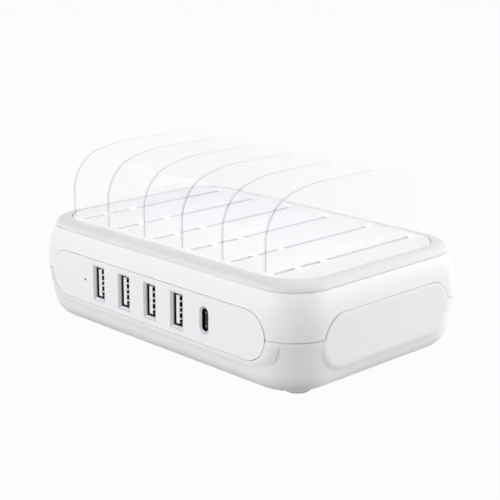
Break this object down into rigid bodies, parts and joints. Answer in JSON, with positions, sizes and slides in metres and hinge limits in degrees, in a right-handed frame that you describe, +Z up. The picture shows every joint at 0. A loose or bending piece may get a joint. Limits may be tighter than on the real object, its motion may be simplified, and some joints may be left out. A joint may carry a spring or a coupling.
{
  "type": "multi port usb desktop charger",
  "caption": "Desktop charger with a row of upright ports in a rounded white housing, and clear upright dividers on its deck to stand phones and tablets between.",
  "frame": {"origin": "centre of the footprint, on the surface that the feet stand on", "axes": "+X along the row of ports to the right seen from the front, +Y from the port side to the inlet side, +Z up"},
  "size_m": [0.1534, 0.1024, 0.0748],
  "materials": {
    "white_housing": "fine satin moulding",
    "white_panel": "satin moulding",
    "grey_ring": "semi-gloss moulding",
    "white_deck": "fine satin moulding",
    "clear_acrylic": "polished clear sheet",
    "grey_rubber": "matt",
    "port_shell": "plated sheet",
    "port_insulator": "moulded",
    "black_insulator": "moulded",
    "contact_metal": "plated",
    "steel": "plain",
    "board": "laminate",
    "ferrite": "sintered",
    "winding_tape": "tape",
    "capacitor_sleeve": "shrink sleeve",
    "sink_aluminium": "extruded",
    "component_black": "moulded",
    "component_yellow": "boxed",
    "lamp_clear": "clear rod"
  },
  "bodies": {
    "root": {"ac_inlet": "black_insulator", "board_header": "component_black", "board_screws": "steel", "bridge_rectifier": "component_black", "bulk_capacitor": "capacitor_sleeve", "charging_chips": "component_black", "divider_1": "clear_acrylic", "divider_2": "clear_acrylic", "divider_3": "clear_acrylic", "divider_4": "clear_acrylic", "divider_5": "clear_acrylic", "divider_6": "clear_acrylic", "feet": "grey_rubber", "film_capacitor": "component_yellow", "front_panel": "white_panel", "heat_sinks": "sink_aluminium", "housing_screws": "steel", "inlet_pins": "contact_metal", "inlet_wires": "component_black", "light_pipe": "lamp_clear", "line_choke": "component_black", "line_fuse": "steel", "lower_housing": "white_housing", "main_board": "board", "output_capacitors": "capacitor_sleeve", "port_board": "board", "power_transistors": "component_black", "rear_panel": "white_panel", "status_lamp": "lamp_clear", "top_deck": "white_deck", "transformer_core": "ferrite", "transformer_winding": "winding_tape", "trim_ring": "grey_ring", "upper_housing": "white_housing", "usb_a_contacts_1": "contact_metal", "usb_a_contacts_2": "contact_metal", "usb_a_contacts_3": "contact_metal", "usb_a_contacts_4": "contact_metal", "usb_a_shell_1": "port_shell", "usb_a_shell_2": "port_shell", "usb_a_shell_3": "port_shell", "usb_a_shell_4": "port_shell", "usb_a_tongue_1": "port_insulator", "usb_a_tongue_2": "port_insulator", "usb_a_tongue_3": "port_insulator", "usb_a_tongue_4": "port_insulator", "usb_c_contacts": "contact_metal", "usb_c_shell": "port_shell", "usb_c_tongue": "black_insulator"}
  },
  "joints": []
}
